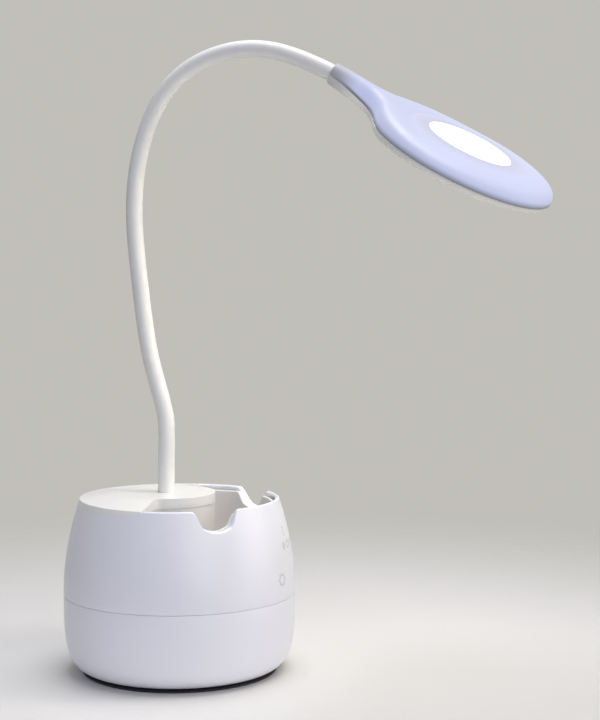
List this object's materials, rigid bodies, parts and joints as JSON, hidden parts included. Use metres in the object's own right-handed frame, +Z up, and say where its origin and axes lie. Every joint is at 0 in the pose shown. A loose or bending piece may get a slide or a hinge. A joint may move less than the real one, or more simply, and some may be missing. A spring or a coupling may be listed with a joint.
{
  "type": "desk lamp with pen holder",
  "caption": "Rechargeable desk lamp: round base with a pen compartment and notched rim, flexible gooseneck and a flat round head lit below and through a top window.",
  "frame": {"origin": "on the base's vertical axis, at the underside of the foot pad", "axes": "+Z up; -Y towards the front, where the pens stand, the touch marks are and the head reaches; +X to the lamp's right side as seen from the front"},
  "size_m": [0.1152, 0.2397, 0.31],
  "materials": {
    "white_plastic": "glossy moulded plastic, cool white",
    "white_silicone": "satin silicone sleeve, white",
    "opal_plastic": "opal light-spreading plastic",
    "lit_window": "opal plastic lit from behind",
    "dark_rubber": "dark non-slip pad",
    "grey_plastic": "moulded inner tray",
    "steel": "plated steel",
    "aluminium": "aluminium light board",
    "brass": "turned brass",
    "circuit_board": "green circuit board",
    "black_plastic": "black moulded component",
    "blue_wrap": "film-wrapped cell"
  },
  "bodies": {
    "root": {"foot_pad": "dark_rubber", "lower_shell": "white_plastic", "upper_shell": "white_plastic", "deck_cover": "white_plastic", "pen_cup": "white_plastic", "base_screw_1": "steel", "base_screw_2": "steel", "base_screw_3": "steel", "base_screw_4": "steel", "ballast_plate": "steel", "rear_tray": "grey_plastic", "battery_cell": "blue_wrap", "main_board": "circuit_board", "driver_chip": "black_plastic", "charging_chip": "black_plastic", "board_coil": "black_plastic", "charging_socket": "steel", "touch_board": "circuit_board", "touch_spring_1": "brass", "touch_spring_2": "brass", "touch_spring_3": "brass", "neck_bracket": "steel", "bracket_screw_1": "steel", "bracket_screw_2": "steel", "neck_ferrule": "brass", "neck_washer": "steel", "neck_nut": "brass", "neck_sleeve": "white_silicone", "neck_lead": "black_plastic", "neck_link_0": "steel"},
    "neck_1": {"neck_link_1": "steel"},
    "neck_2": {"neck_link_2": "steel"},
    "neck_3": {"neck_link_3": "steel"},
    "neck_4": {"neck_link_4": "steel"},
    "neck_5": {"neck_link_5": "steel"},
    "neck_6": {"neck_link_6": "steel"},
    "neck_7": {"neck_link_7": "steel"},
    "head": {"neck_link_8": "steel", "head_ferrule": "brass", "head_top_cover": "white_plastic", "head_bottom_cover": "white_plastic", "top_window": "lit_window", "light_tube": "opal_plastic", "led_board": "aluminium", "head_screw_1": "steel", "head_screw_2": "steel", "head_screw_3": "steel", "main_diffuser": "opal_plastic"}
  },
  "joints": [
    {"name": "neck_bend_1", "type": "hinge", "parent": "root", "child": "neck_1", "pos_m": [0, 0.00669, 0.10726], "axis": [1, 0, 0], "range_deg": [-25, 30], "deforming": ["neck_sleeve", "neck_lead"]},
    {"name": "neck_swing_2", "type": "hinge", "parent": "neck_1", "child": "neck_2", "pos_m": [0, 0.01119, 0.14224], "axis": [0, 0.9607, -0.2776], "range_deg": [-35, 35]},
    {"name": "neck_bend_3", "type": "hinge", "parent": "neck_2", "child": "neck_3", "pos_m": [0, 0.01823, 0.17701], "axis": [1, 0, 0], "range_deg": [-30, 35]},
    {"name": "neck_swing_4", "type": "hinge", "parent": "neck_3", "child": "neck_4", "pos_m": [0, 0.02212, 0.21231], "axis": [0, -0.9967, 0.081], "range_deg": [-35, 35]},
    {"name": "neck_bend_5", "type": "hinge", "parent": "neck_4", "child": "neck_5", "pos_m": [0, 0.02133, 0.24773], "axis": [-1, 0, 0], "range_deg": [-30, 35]},
    {"name": "neck_swing_6", "type": "hinge", "parent": "neck_5", "child": "neck_6", "pos_m": [0, 0.0099, 0.28114], "axis": [0, 0.8572, 0.515], "range_deg": [-35, 35]},
    {"name": "neck_bend_7", "type": "hinge", "parent": "neck_6", "child": "neck_7", "pos_m": [0, -0.01719, 0.30291], "axis": [-1, 0, 0], "range_deg": [-35, 45]},
    {"name": "neck_swing_8", "type": "hinge", "parent": "neck_7", "child": "head", "pos_m": [0, -0.05212, 0.30394], "axis": [0, 0.2724, -0.9622], "range_deg": [-35, 35]}
  ]
}
